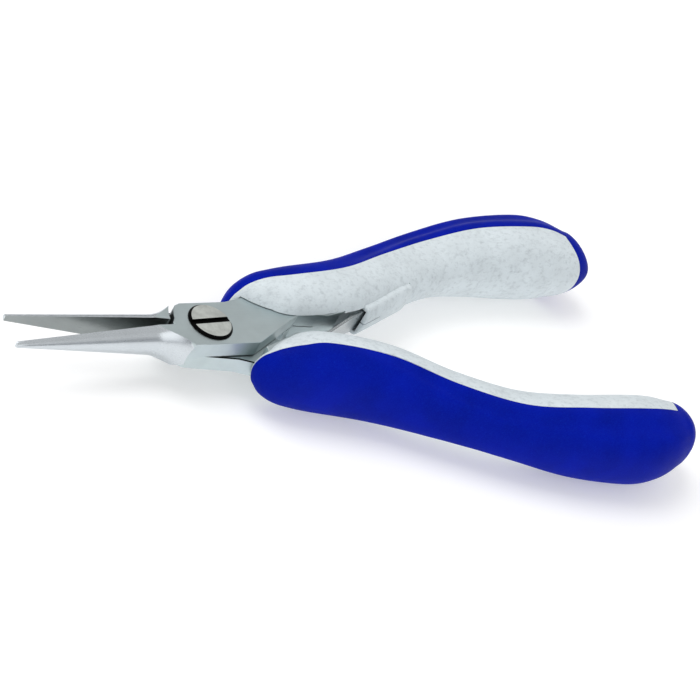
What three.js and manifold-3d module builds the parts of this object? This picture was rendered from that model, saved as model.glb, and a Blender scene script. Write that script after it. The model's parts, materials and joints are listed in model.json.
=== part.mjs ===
// Precision pliers with long half-round jaws, a screwed lap joint, a leaf return spring and
// two-colour moulded grips. Millimetres and degrees. The pliers lie flat: +X runs from the jaw
// tips to the handles, +Y towards the upper handle, +Z is the pivot axis.
//
// Each half is described in its own closed frame, with the pivot at the origin and the jaws
// shut along -X, and is then turned by OPEN_ANGLE about the pivot to its place at rest.

import * as THREE from 'three';
import { mergeVertices } from 'three/addons/utils/BufferGeometryUtils.js';
import Module from 'manifold-3d';

const wasm = await Module();
wasm.setup();

// ---------------------------------------------------------------- driving dimensions

// How far each half stands open at rest, and the play between moving faces.
const OPEN_ANGLE = 4.4;
const LAP_GAP = 0.06;
const FACE_GAP = 0.08;
const SWING_GAP = 0.35;
const SEAT_GAP = 0.15;

// Joint head.
const HEAD_HALF_THICKNESS = 3.7;
const HEAD_TOP = 5.57;
const HEAD_BOTTOM = 5.7;
const FRONT_RADIUS = 7.7;
const SHOULDER_RADIUS = 8.8;
const HEAD_REAR = 9.2;
const HEAD_TOP_SPAN = [-4.5, 6.4];
const HEAD_BOTTOM_START = -6.35;
const FRONT_ARC = [167, 139];
const CROTCH_LENGTH = 1.8;
const CROTCH_TOP = 0.5;

// Jaws.
const JAW_REACH = 42.4;
const JAW_TIP_HALF_THICKNESS = 0.62;
const JAW_TIP_DEPTH = 0.9;
const JAW_ROOT_HALF_THICKNESS = 3.55;
const JAW_ROOT_DEPTH = 2.75;
const FLARE_START = 13;
const FLARE_RATE = 0.068;
const FLARE_END = 4;
const FLARE_STEP = 1.5;

// Tangs, the steel bars inside the grips.
const TANG_WALL_START = [22.9, 1.64];
const TANG_WALL_LOW = [30, 0.9];
const TANG_ROOT_END = 34.5;
const TANG_ROOT_RISE = 0.9;
const TANG_ROOT_FRONT = [10.9, 6.7];
const TANG_BACK = [[10.4, 6.4], [15, 8.6], [22, 10.4], [30, 11.2], [TANG_ROOT_END, 11.4]];
const TANG_BAR_START = 28;
const TANG_HALF_WIDTH = 2.6;
const TANG_HALF_THICKNESS = 2.4;
const TANG_END_MARGIN = 20;

// Pivot screw.
const SCREW_RADIUS = 2.5;
const SCREW_CLEARANCE = 0.05;
const SCREW_HEAD_RADIUS = 4.7;
const SCREW_TOP_RADIUS = 4.2;
const SCREW_HEAD_HEIGHT = 0.65;
const SCREW_SLOT_WIDTH = 1.3;
const SCREW_SLOT_DEPTH = 0.52;
const SCREW_SLOT_ANGLE = 7;

// Grips. Each row is a section: centre x, centre y, inner half width, outer half width and
// half height, at right angles to the grip's centre line.
const GRIP_SECTIONS = [
  [10.1, 7.6, 1.5, 2.0, 3.8],
  [12.5, 8.0, 3.7, 3.55, 6.0],
  [16.5, 8.1, 5.9, 5.0, 7.6],
  [23, 7.9, 7.7, 6.05, 8.55],
  [37, 9.8, 8.2, 6.15, 8.3],
  [51, 14.8, 8.2, 5.5, 7.0],
  [66, 19.0, 8.2, 6.05, 6.85],
  [80, 20.45, 8.15, 7.65, 8.7],
  [94, 20.1, 8.6, 9.05, 9.4],
  [101, 19.35, 8.3, 8.65, 8.95],
  [107, 18.0, 7.05, 7.05, 7.35],
];
const GRIP_NOSE = { length: 1.2, lean: -0.16, drift: -0.42, taper: 0.28 };
const GRIP_TAIL = { length: 7.0, lean: -0.225, drift: -2.0, taper: 0.22 };
const GRIP_SQUARENESS = 2.2;
const PARTING_GAP = 0.1;
const CORE_FRONT = 8;
const CORE_END_MARGIN = 1.7;
const CORE_END_ROUNDING = 6.4;
const CORE_SIDE_MARGIN = 1.5;

// Leaf spring: a strip whose rolled eye sits on a pin in the lower tang, and whose free end
// lies in the upper grip's pocket.
const LEAF_PIN = [21.6, -3.05];
const LEAF_ANGLE = 34.4;
const LEAF_LENGTH = 18.9;
const LEAF_END_ANGLE = 27.1;
const LEAF_END_LENGTH = 4.6;
const LEAF_THICKNESS = 0.6;
const LEAF_HALF_WIDTH = 2.6;
const LEAF_SIDE_GAP = 0.25;
const LEAF_ROOM = LEAF_HALF_WIDTH + LEAF_SIDE_GAP;
const LEAF_SHUT_ANGLE = 17.2;
const PIN_RADIUS = 0.8;
const PIN_CLEARANCE = 0.05;
const PIN_END_INSET = 0.4;

// Groove along each tang's inner wall, in which the strip lies when the handles are shut.
const GROOVE_START = [27, 1.1];
const GROOVE_LEVEL = 2.4;

// Spring pocket, a block let into the upper grip in line with the leaf's free end.
const MOUTH_LEAD = 2.8;
const POCKET_SLOPE = 3.5;
const POCKET_LENGTH = 17;
const POCKET_LIP = 1.7;
const POCKET_HEIGHT = 4;
const POCKET_SHOULDER = 0.8;
const POCKET_SIDE_WALL = 1.05;
const POCKET_SQUARENESS = 2.4;
const POCKET_STEPS = 6;
const CHANNEL_DEPTH = 4.8;
const CHANNEL_UP_GAP = 0.55;
const CHANNEL_DOWN_GAP = 0.4;
const CHANNEL_FLARE = 0.2;
const HOLLOW_SIDE_GAP = 0.8;
const HOLLOW_RISE = 1.2;

// Fineness of round surfaces.
const ROUND_STEPS = 40;
const GRIP_STEPS = 30;
const GRIP_RINGS_PER_SPAN = 2;
const END_RINGS = 4;
const JAW_STEPS = 12;
const ARC_STEPS = 5;

// Larger than the whole object, for cutters.
const FAR = 60;
const RAD = Math.PI / 180;

// ---------------------------------------------------------------- solids

// The closed solid of a three.js geometry.
function solid(geometry) {
  const bare = geometry.clone();
  bare.deleteAttribute('normal');
  bare.deleteAttribute('uv');
  const merged = mergeVertices(bare, 1e-5);
  const body = new wasm.Mesh({
    numProp: 3,
    vertProperties: new Float32Array(merged.attributes.position.array),
    triVerts: new Uint32Array(merged.index.array),
  });
  return new wasm.Manifold(body);
}

// The three.js geometry of a solid.
function geometryOf(body) {
  const mesh = body.getMesh();
  const geometry = new THREE.BufferGeometry();
  geometry.setAttribute('position', new THREE.BufferAttribute(mesh.vertProperties, 3));
  geometry.setIndex(new THREE.BufferAttribute(mesh.triVerts, 1));
  geometry.computeVertexNormals();
  return geometry;
}

// A plan outline, given as [x, y] points, raised from bottom to top.
function slab(points, bottom, top) {
  const shape = new THREE.Shape(points.map(([x, y]) => new THREE.Vector2(x, y)));
  const geometry = new THREE.ExtrudeGeometry(shape, {
    depth: top - bottom,
    bevelEnabled: false,
    steps: 1,
  });
  geometry.translate(0, 0, bottom);
  return solid(geometry);
}

// An upright cylinder on the pivot axis.
function drum(radius, bottom, top) {
  const geometry = new THREE.CylinderGeometry(radius, radius, top - bottom, ROUND_STEPS);
  geometry.rotateX(Math.PI / 2);
  geometry.translate(0, 0, (bottom + top) / 2);
  return solid(geometry);
}

// A skin over rings of points, closed at both ends.
function loft(rings) {
  const count = rings[0].length;
  const points = rings.flat();
  const first = points.length;
  const middle = (ring) => ring.reduce((sum, p) => sum.add(p), new THREE.Vector3()).divideScalar(count);
  points.push(middle(rings[0]), middle(rings[rings.length - 1]));
  const faces = [];
  for (let j = 0; j < count; j += 1) {
    const k = (j + 1) % count;
    for (let i = 0; i + 1 < rings.length; i += 1) {
      const a = i * count;
      const b = a + count;
      faces.push(a + j, b + j, b + k, a + j, b + k, a + k);
    }
    const last = (rings.length - 1) * count;
    faces.push(first, j, k);
    faces.push(first + 1, last + k, last + j);
  }
  const geometry = new THREE.BufferGeometry().setFromPoints(points);
  geometry.setIndex(faces);
  return solid(geometry);
}

// The mirror-like twin of a half: the same forging turned over about the X axis.
function turnedOver(body) {
  return body.rotate([180, 0, 0]);
}

// Points on an arc about the pivot, angles in degrees.
function arc(radius, from, to, steps) {
  const points = [];
  for (let i = 0; i <= steps; i += 1) {
    const angle = (from + ((to - from) * i) / steps) * RAD;
    points.push([radius * Math.cos(angle), radius * Math.sin(angle)]);
  }
  return points;
}

// Turns a plan point about the pivot.
function turned([x, y], angle) {
  const c = Math.cos(angle * RAD);
  const s = Math.sin(angle * RAD);
  return [x * c - y * s, x * s + y * c];
}

// ---------------------------------------------------------------- grip form

// The centre line and section sizes of a grip at one of many evenly spaced steps.
function gripRun() {
  const line = new THREE.CatmullRomCurve3(GRIP_SECTIONS.map(([x, y]) => new THREE.Vector3(x, y, 0)));
  line.curveType = 'catmullrom';
  const sizes = new THREE.CatmullRomCurve3(GRIP_SECTIONS.map((s) => new THREE.Vector3(s[2], s[3], s[4])));
  sizes.curveType = 'catmullrom';
  const steps = (GRIP_SECTIONS.length - 1) * GRIP_RINGS_PER_SPAN;
  const run = [];
  for (let i = 0; i <= steps; i += 1) {
    const centre = line.getPoint(i / steps);
    const tangent = line.getTangent(i / steps);
    const size = sizes.getPoint(i / steps);
    run.push({ centre, across: new THREE.Vector3(-tangent.y, tangent.x, 0), size });
  }
  return run;
}

// One ring of points round a grip section.
function gripRing({ centre, across, size }, scale = 1) {
  const ring = [];
  const power = 2 / GRIP_SQUARENESS;
  for (let j = 0; j < GRIP_STEPS; j += 1) {
    const angle = ((j + 0.5) / GRIP_STEPS) * -2 * Math.PI;
    const c = Math.cos(angle);
    const s = Math.sin(angle);
    const width = c > 0 ? size.y : size.x;
    const out = Math.sign(c) * Math.abs(c) ** power * width * scale;
    const up = Math.sign(s) * Math.abs(s) ** power * size.z * scale;
    ring.push(centre.clone().addScaledVector(across, out).add(new THREE.Vector3(0, 0, up)));
  }
  return ring;
}

// Rings that round off the end of a grip beyond one of its sections, going on from its slopes.
function roundedEnd(section, { length, lean, drift, taper }, direction) {
  const rings = [];
  for (let i = 1; i <= END_RINGS; i += 1) {
    const angle = (i / (END_RINGS + 0.4)) * 90 * RAD;
    const centre = section.centre.clone();
    const travel = Math.sin(angle);
    centre.x += direction * length * travel;
    centre.y += lean * length * travel + drift * (1 - Math.cos(angle));
    rings.push(gripRing({ ...section, centre }, Math.cos(angle) * (1 - taper * travel)));
  }
  return rings;
}

// The whole outside of a grip, before it is parted and hollowed for the tang.
function gripBody() {
  const run = gripRun();
  const nose = roundedEnd(run[0], GRIP_NOSE, -1).reverse();
  const tail = roundedEnd(run[run.length - 1], GRIP_TAIL, 1);
  return loft([...nose, ...run.map((section) => gripRing(section)), ...tail]);
}

// Everything on the inner side of the grip's centre line, moved inwards by an amount.
function innerSide(inwards) {
  const edge = gripRun().map(({ centre, across }) => {
    const point = centre.clone().addScaledVector(across, -inwards);
    return [point.x, point.y];
  });
  const first = [edge[0][0] - 2 * GRIP_NOSE.length, edge[0][1] + 2 * GRIP_NOSE.drift];
  const last = edge[edge.length - 1];
  const end = [last[0] + FAR, last[1]];
  return slab([[first[0], -FAR], [end[0], -FAR], end, ...edge.reverse(), first], -FAR, FAR);
}

// The side view of the core: a long panel whose far end is round, grown by an amount.
function panelSide(grown) {
  const last = GRIP_SECTIONS[GRIP_SECTIONS.length - 1];
  const endX = last[0] + CORE_END_MARGIN + grown;
  const start = endX - CORE_END_ROUNDING - grown;
  const half = last[4] + CORE_SIDE_MARGIN + grown;
  const points = [[CORE_FRONT - grown, -FAR], [start, -FAR]];
  for (let i = 0; i <= JAW_STEPS; i += 1) {
    const angle = (-90 + (180 * i) / JAW_STEPS) * RAD;
    points.push([start + (endX - start) * Math.cos(angle), half * Math.sin(angle)]);
  }
  points.push([start, FAR], [CORE_FRONT - grown, FAR]);
  return slab(points, -FAR, FAR).rotate([90, 0, 0]);
}

// ---------------------------------------------------------------- steel halves

// Size of the jaw at a distance from the pivot: even taper, then a flare into the head.
function jawSize(distance, tip, root) {
  const shank = JAW_REACH - FLARE_START;
  const rate = (root - tip) / shank;
  const inwards = Math.max(0, FLARE_START - distance);
  return tip + rate * (JAW_REACH - distance) + FLARE_RATE * inwards ** 2;
}

// The jaw: flat gripping face, rounded back, flaring into the head.
function jaw() {
  const distances = [JAW_REACH, (JAW_REACH + FLARE_START) / 2];
  for (let d = FLARE_START; d > FLARE_END; d -= FLARE_STEP) {
    distances.push(d);
  }
  distances.push(FLARE_END);
  const rings = distances.map((distance) => {
    const half = jawSize(distance, JAW_TIP_HALF_THICKNESS, JAW_ROOT_HALF_THICKNESS);
    const depth = jawSize(distance, JAW_TIP_DEPTH, JAW_ROOT_DEPTH);
    const ring = [];
    for (let j = 0; j <= JAW_STEPS; j += 1) {
      const angle = (180 * j * RAD) / JAW_STEPS;
      const y = -FACE_GAP / 2 - depth * Math.sin(angle);
      ring.push(new THREE.Vector3(-distance, y, -half * Math.cos(angle)));
    }
    return ring;
  });
  const room = slab(
    [[-FAR, -HEAD_BOTTOM], [0, -HEAD_BOTTOM], [0, 0], [-FAR, 0]],
    -HEAD_HALF_THICKNESS,
    HEAD_HALF_THICKNESS,
  );
  const hub = drum(SHOULDER_RADIUS, -FAR, LAP_GAP / 2);
  return loft(rings).intersect(room).subtract(hub);
}

// The exposed inner wall of the tang's root, from the joint to the root's end.
function tangWall() {
  return [TANG_WALL_START, TANG_WALL_LOW, [TANG_ROOT_END, TANG_WALL_LOW[1] + TANG_ROOT_RISE]];
}

// The joint plate on the near side of the lap, with the tang's root behind it.
function plate() {
  const crotch = SWING_GAP - SHOULDER_RADIUS;
  const points = [
    [crotch - CROTCH_LENGTH, -FACE_GAP / 2],
    [crotch, -FACE_GAP / 2],
    [crotch, CROTCH_TOP],
    ...arc(FRONT_RADIUS, FRONT_ARC[0], FRONT_ARC[1], ARC_STEPS),
    [HEAD_TOP_SPAN[0], HEAD_TOP],
    [HEAD_TOP_SPAN[1], HEAD_TOP],
    ...TANG_BACK,
    ...tangWall().reverse(),
    [HEAD_REAR, -HEAD_BOTTOM],
    [HEAD_BOTTOM_START, -HEAD_BOTTOM],
  ];
  return slab(points, LAP_GAP / 2, HEAD_HALF_THICKNESS);
}

// The tang's root on the far side of the lap, behind the other half's plate.
function tangRoot() {
  const [wallX, wallY] = TANG_WALL_START;
  const slope = (wallY + HEAD_BOTTOM) / (wallX - HEAD_REAR);
  const lift = SWING_GAP * Math.hypot(1, slope);
  const shoulder = (x) => HEAD_BOTTOM + lift - slope * (x - HEAD_REAR);
  const cornerX = HEAD_REAR + (2 * HEAD_BOTTOM + lift) / (2 * slope);
  const points = [
    [TANG_ROOT_FRONT[0], shoulder(TANG_ROOT_FRONT[0])],
    [cornerX, shoulder(cornerX)],
    ...tangWall(),
    ...TANG_BACK.slice(1).reverse(),
    TANG_ROOT_FRONT,
  ];
  return slab(points, -HEAD_HALF_THICKNESS, LAP_GAP);
}

// The plan of the slim bar that runs on inside the grip, grown by a gap at the sides and end.
function tangBarPlan(gap) {
  const limit = GRIP_SECTIONS[GRIP_SECTIONS.length - 1][0] - TANG_END_MARGIN;
  const run = gripRun().filter(({ centre }) => centre.x > TANG_BAR_START && centre.x < limit);
  const side = (sign) => run.map(({ centre, across }, i) => {
    const point = centre.clone().addScaledVector(across, sign * (TANG_HALF_WIDTH + gap));
    return [point.x + (i === run.length - 1 ? 2 * gap : 0), point.y];
  });
  return [...side(-1), ...side(1).reverse()];
}

// The slim bar itself.
function tangBar() {
  return slab(tangBarPlan(0), -TANG_HALF_THICKNESS, TANG_HALF_THICKNESS);
}

// One forged half in its closed frame, before the details that differ between the two.
function half() {
  const bore = drum(SCREW_RADIUS + SCREW_CLEARANCE, -FAR, FAR);
  return jaw().add(plate()).add(tangRoot()).add(tangBar()).subtract(bore);
}

// ---------------------------------------------------------------- spring and pocket

// A plan point at a distance and angle from another.
function away([x, y], length, angle) {
  return [x + length * Math.cos(angle * RAD), y + length * Math.sin(angle * RAD)];
}

// An upright cylinder about a plan point.
function post(centre, radius, halfHeight) {
  return drum(radius, -halfHeight, halfHeight).translate([centre[0], centre[1], 0]);
}

// The leaf spring, in the lower half's closed frame.
function leaf() {
  const bend = away(LEAF_PIN, LEAF_LENGTH, LEAF_ANGLE);
  const tip = away(bend, LEAF_END_LENGTH, LEAF_END_ANGLE);
  const bendAngle = (LEAF_ANGLE + LEAF_END_ANGLE) / 2;
  const side = (sign) => {
    const offset = (sign * LEAF_THICKNESS) / 2;
    return [
      away(LEAF_PIN, offset, LEAF_ANGLE + 90),
      away(bend, offset, bendAngle + 90),
      away(tip, offset, LEAF_END_ANGLE + 90),
    ];
  };
  const strip = slab([...side(-1), ...side(1).reverse()], -LEAF_HALF_WIDTH, LEAF_HALF_WIDTH);
  const bore = PIN_RADIUS + PIN_CLEARANCE;
  const eye = post(LEAF_PIN, bore + LEAF_THICKNESS, LEAF_HALF_WIDTH);
  return strip.add(eye).subtract(post(LEAF_PIN, bore, FAR));
}

// The pin that holds the leaf's eye between the cheeks of the lower tang.
function leafPin() {
  return post(LEAF_PIN, PIN_RADIUS, HEAD_HALF_THICKNESS - PIN_END_INSET);
}

// What the leaf needs cut from the lower tang: a seat for its eye and room to fold down.
function leafSeat() {
  const eye = PIN_RADIUS + PIN_CLEARANCE + LEAF_THICKNESS + SWING_GAP;
  const floor = away(LEAF_PIN, LEAF_THICKNESS / 2 + SEAT_GAP, LEAF_SHUT_ANGLE - 90);
  const end = away(floor, TANG_WALL_LOW[0] - floor[0], LEAF_SHUT_ANGLE);
  const rear = LEAF_PIN[0] - eye;
  const outline = [floor, end, [end[0], FAR], [rear, FAR], [rear, LEAF_PIN[1]]];
  const pinHole = post(LEAF_PIN, PIN_RADIUS + PIN_CLEARANCE, FAR);
  return slab(outline, -LEAF_ROOM, LEAF_ROOM).add(post(LEAF_PIN, eye, LEAF_ROOM)).add(pinHole);
}

// The channel's direction in the upper half's closed frame, in line with the leaf's end at rest.
function pocketAngle() {
  return LEAF_END_ANGLE - 2 * OPEN_ANGLE;
}

// Plan points given in the pocket's own directions: along the channel and up from its middle.
function pocketPoint([along, up]) {
  const bend = turned(away(LEAF_PIN, LEAF_LENGTH, LEAF_ANGLE), -2 * OPEN_ANGLE);
  return away(away(bend, MOUTH_LEAD + along, pocketAngle()), up, pocketAngle() + 90);
}

// The outside of the pocket block, grown by an amount: a bar whose exposed side is rounded.
function pocketBlock(grown) {
  const half = LEAF_ROOM + POCKET_SIDE_WALL + grown;
  const top = POCKET_HEIGHT + grown;
  const drop = POCKET_LIP + POCKET_SHOULDER + grown;
  const section = [[top, -half], [top, half], [POCKET_SHOULDER, half]];
  for (let i = 1; i < POCKET_STEPS; i += 1) {
    const angle = (i / POCKET_STEPS) * Math.PI;
    const down = POCKET_SHOULDER - drop * Math.sin(angle) ** (1 / POCKET_SQUARENESS);
    section.push([down, half * Math.cos(angle)]);
  }
  section.push([POCKET_SHOULDER, -half]);
  const shape = new THREE.Shape(section.map(([up, z]) => new THREE.Vector2(up, z)));
  const geometry = new THREE.ExtrudeGeometry(shape, {
    depth: POCKET_LENGTH + 2 * grown,
    bevelEnabled: false,
    steps: 1,
  });
  const up = new THREE.Vector3(0, 1, 0);
  const side = new THREE.Vector3(0, 0, 1);
  const along = new THREE.Vector3(1, 0, 0);
  geometry.applyMatrix4(new THREE.Matrix4().makeBasis(up, side, along));
  geometry.translate(-grown, 0, 0);
  geometry.rotateZ((pocketAngle() + POCKET_SLOPE) * RAD);
  const mouth = pocketPoint([0, 0]);
  geometry.translate(mouth[0], mouth[1], 0);
  return solid(geometry);
}

// The flared channel that the strip's free end slides in.
function pocketChannel() {
  const up = LEAF_THICKNESS / 2 + CHANNEL_UP_GAP;
  const down = LEAF_THICKNESS / 2 + CHANNEL_DOWN_GAP;
  const outline = [
    [-1, -down],
    [0, -down],
    [CHANNEL_DEPTH, -down - CHANNEL_FLARE],
    [CHANNEL_DEPTH, up],
    [-1, up],
  ].map(pocketPoint);
  return slab(outline, -LEAF_ROOM, LEAF_ROOM);
}

// The hollow in the grip ahead of the pocket, through which the strip reaches it.
function pocketHollow() {
  const [endX, top] = pocketPoint([1, LEAF_THICKNESS / 2 + CHANNEL_UP_GAP + HOLLOW_RISE]);
  const start = TANG_WALL_LOW[0];
  const width = LEAF_HALF_WIDTH + HOLLOW_SIDE_GAP;
  return slab([[start, -FAR], [endX, -FAR], [endX, top], [start, GROOVE_LEVEL]], -width, width);
}

// The groove along a tang's inner wall.
function tangGroove() {
  const end = TANG_ROOT_END + TANG_ROOT_RISE;
  const [startX, startY] = GROOVE_START;
  return slab([[startX, startY], [startX, -FAR], [end, -FAR], [end, GROOVE_LEVEL]], -LEAF_ROOM, LEAF_ROOM);
}

// ---------------------------------------------------------------- the pieces

// The forging with the lower jaw, the near plate and the upper tang.
function lowerJawHalf() {
  return half().subtract(tangGroove());
}

// The forging with the upper jaw, the far plate and the lower tang.
function upperJawHalf() {
  return turnedOver(half().subtract(tangGroove())).subtract(leafSeat());
}

// What the steel takes out of a grip: the tang with a fitting gap, and the open inner side.
function tangRoom() {
  const wide = [[HEAD_TOP_SPAN[1], HEAD_TOP], ...TANG_BACK].map(([x, y]) => [x, y + SEAT_GAP]);
  const end = TANG_ROOT_END + SEAT_GAP;
  const plan = [...wide, [end, wide[wide.length - 1][1]], [end, -FAR], [HEAD_TOP_SPAN[1], -FAR]];
  const thick = HEAD_HALF_THICKNESS + SEAT_GAP;
  const slim = TANG_HALF_THICKNESS + SEAT_GAP;
  return slab(plan, -thick, thick).add(slab(tangBarPlan(SEAT_GAP), -slim, slim));
}

// The pale inner part of a grip.
function gripCore() {
  return gripBody().intersect(innerSide(PARTING_GAP / 2)).intersect(panelSide(0)).subtract(tangRoom());
}

// The dark outer part of a grip, which wraps round both ends.
function gripSkin() {
  const panel = innerSide(-PARTING_GAP / 2).intersect(panelSide(PARTING_GAP));
  return gripBody().subtract(panel).subtract(tangRoom());
}

// The upper grip's inner part, with room for the spring pocket.
function upperGripCore() {
  return gripCore().subtract(pocketBlock(SEAT_GAP)).subtract(pocketHollow());
}

// The block that takes the free end of the spring.
function springPocket() {
  return pocketBlock(0).subtract(pocketChannel()).subtract(tangRoom());
}

// The slotted pivot screw, with a raised head on the near side and a flush end on the far one.
function pivotScrew() {
  const top = HEAD_HALF_THICKNESS + SCREW_HEAD_HEIGHT;
  const seat = HEAD_HALF_THICKNESS + LAP_GAP;
  const profile = [
    [0, -HEAD_HALF_THICKNESS],
    [SCREW_RADIUS - 0.3, -HEAD_HALF_THICKNESS],
    [SCREW_RADIUS, -HEAD_HALF_THICKNESS + 0.3],
    [SCREW_RADIUS, seat],
    [SCREW_HEAD_RADIUS, seat],
    [SCREW_TOP_RADIUS + 0.1, top - 0.1],
    [SCREW_TOP_RADIUS, top],
    [0, top],
  ].map(([r, z]) => new THREE.Vector2(r, z));
  const geometry = new THREE.LatheGeometry(profile, ROUND_STEPS);
  geometry.rotateX(Math.PI / 2);
  const w = SCREW_SLOT_WIDTH / 2;
  const slot = slab([[-FAR, -w], [FAR, -w], [FAR, w], [-FAR, w]], top - SCREW_SLOT_DEPTH, FAR);
  return solid(geometry).subtract(slot);
}

// ---------------------------------------------------------------- assembly

const SATIN_STEEL = { color: 0xa9b4b5, roughness: 0.38, metalness: 1 };
const SCREW_STEEL = { color: 0xb9b9ae, roughness: 0.3, metalness: 1 };
const SPRING_STEEL = { color: 0x9aa2a3, roughness: 0.32, metalness: 1 };
const PALE_PLASTIC = { color: 0xe4e8ec, roughness: 0.55, metalness: 0 };
const BLUE_ELASTOMER = { color: 0x0b1f8f, roughness: 0.6, metalness: 0 };

function piece(name, body, finish) {
  const mesh = new THREE.Mesh(geometryOf(body), new THREE.MeshStandardMaterial(finish));
  mesh.name = name;
  return mesh;
}

// The half that stands still: lower handle, upper jaw, pivot screw and spring.
function lowerHandle() {
  const group = new THREE.Group();
  const screw = piece('pivot_screw', pivotScrew(), SCREW_STEEL);
  screw.rotation.z = (SCREW_SLOT_ANGLE + OPEN_ANGLE) * RAD;
  group.add(
    piece('upper_jaw_half', upperJawHalf(), SATIN_STEEL),
    screw,
    piece('lower_grip_core', turnedOver(gripCore()), PALE_PLASTIC),
    piece('lower_grip_skin', turnedOver(gripSkin()), BLUE_ELASTOMER),
    piece('return_spring', leaf(), SPRING_STEEL),
    piece('spring_pin', leafPin(), SPRING_STEEL),
  );
  group.rotation.z = -OPEN_ANGLE * RAD;
  return group;
}

// The half that turns about the pivot: upper handle, lower jaw and spring pocket.
function upperHandle() {
  const group = new THREE.Group();
  group.add(
    piece('lower_jaw_half', lowerJawHalf(), SATIN_STEEL),
    piece('upper_grip_core', upperGripCore(), PALE_PLASTIC),
    piece('upper_grip_skin', gripSkin(), BLUE_ELASTOMER),
    piece('spring_pocket', springPocket(), PALE_PLASTIC),
  );
  group.rotation.z = OPEN_ANGLE * RAD;
  return group;
}

// Both halves, moved so that the origin is under the middle of the whole.
function assembly() {
  const pliers = new THREE.Group();
  pliers.add(lowerHandle(), upperHandle());
  pliers.updateMatrixWorld(true);
  const box = new THREE.Box3().setFromObject(pliers, true);
  const middle = box.getCenter(new THREE.Vector3());
  pliers.position.set(-middle.x, -middle.y, -box.min.z);
  return pliers;
}

export default assembly();
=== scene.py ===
import json
import logging
import math
from collections.abc import Callable, Mapping, Sequence
from dataclasses import dataclass, field
from enum import Enum, IntEnum
from typing import Any

import bmesh
import bpy
import numpy as np
from mathutils import Matrix, Vector


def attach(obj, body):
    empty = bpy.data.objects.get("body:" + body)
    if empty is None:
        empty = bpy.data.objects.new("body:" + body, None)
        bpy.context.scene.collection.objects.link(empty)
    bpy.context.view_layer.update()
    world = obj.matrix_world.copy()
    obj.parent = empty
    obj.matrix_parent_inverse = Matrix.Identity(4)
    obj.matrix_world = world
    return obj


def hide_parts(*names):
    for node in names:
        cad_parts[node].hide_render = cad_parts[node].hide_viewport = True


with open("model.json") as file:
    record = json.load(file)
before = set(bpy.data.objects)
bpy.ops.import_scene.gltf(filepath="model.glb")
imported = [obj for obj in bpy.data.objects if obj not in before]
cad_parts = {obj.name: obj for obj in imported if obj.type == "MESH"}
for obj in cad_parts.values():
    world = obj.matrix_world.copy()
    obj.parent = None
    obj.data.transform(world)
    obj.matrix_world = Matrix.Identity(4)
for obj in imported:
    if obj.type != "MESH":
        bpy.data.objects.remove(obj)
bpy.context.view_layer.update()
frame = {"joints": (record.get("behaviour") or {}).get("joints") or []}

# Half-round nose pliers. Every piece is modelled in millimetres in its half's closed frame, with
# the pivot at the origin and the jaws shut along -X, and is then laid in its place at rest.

LOG = logging.getLogger("pliers")
Point = tuple[float, float]
Colour = tuple[float, float, float]

MM = 0.001
FAR = 60.0
WELD = 1e-4
ROUND_STEPS = 72
OPEN_ANGLE = 4.4
LAP_GAP = 0.06
FACE_GAP = 0.08
SWING_GAP = 0.35
SEAT_GAP = 0.15
PARTING_GAP = 0.04


# ---------------------------------------------------------------- plan geometry


def away(point: Point, length: float, angle: float) -> Point:
    """Return the plan point at a distance and an angle in degrees from another."""
    turn = math.radians(angle)
    return (point[0] + length * math.cos(turn), point[1] + length * math.sin(turn))


def turned(point: Point, angle: float) -> Point:
    """Return a plan point turned about the pivot by an angle in degrees."""
    c, s = math.cos(math.radians(angle)), math.sin(math.radians(angle))
    return (point[0] * c - point[1] * s, point[0] * s + point[1] * c)


def arc(centre: Point, radius: float, start: float, end: float, steps: int) -> list[Point]:
    """Make points along an arc, from its start to its end angle in degrees, in equal steps."""
    return [away(centre, radius, start + (end - start) * i / steps) for i in range(steps + 1)]


def inset(outline: Sequence[Point], amount: float) -> list[Point]:
    """Move every side of a counter-clockwise outline inwards by an amount."""
    corners = [Vector(p) for p in outline]
    moved = []
    for i, here in enumerate(corners):
        arriving = (here - corners[i - 1]).normalized()
        leaving = (corners[(i + 1) % len(corners)] - here).normalized()
        first = Vector((-arriving.y, arriving.x))
        second = Vector((-leaving.y, leaving.x))
        moved.append(tuple(here + (first + second) * amount / (1 + first.dot(second))))
    return moved


def smooth_line(points: Sequence[Sequence[float]], steps: int) -> tuple[np.ndarray, np.ndarray]:
    """Draw an even Catmull-Rom line through some points.

    Args:
        points: The points that the line goes through.
        steps: The number of stretches between one point and the next.

    Returns:
        The places along the line, and the direction of travel at each.
    """
    p = np.array(points, float)
    p = np.vstack([2 * p[0] - p[1], p, 2 * p[-1] - p[-2]])
    places, ways = [], []
    spans = len(p) - 3
    for i in range(spans * steps + 1):
        span = min(i // steps, spans - 1)
        t = i / steps - span
        a, b, c, d = p[span:span + 4]
        first, second = (c - a) / 2, (d - b) / 2
        cubic = 2 * b - 2 * c + first + second
        square = -3 * b + 3 * c - 2 * first - second
        places.append(((cubic * t + square) * t + first) * t + b)
        ways.append((3 * cubic * t + 2 * square) * t + first)
    return np.array(places), np.array(ways)


# ---------------------------------------------------------------- solids


class Face(IntEnum):
    """Which of a piece's finishes a face has; on the steel, DARK is painted shade and BLACK is painted
    shadow.
    """

    MAIN = 0
    SECOND = 1
    DARK = 2
    BLACK = 3


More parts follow.
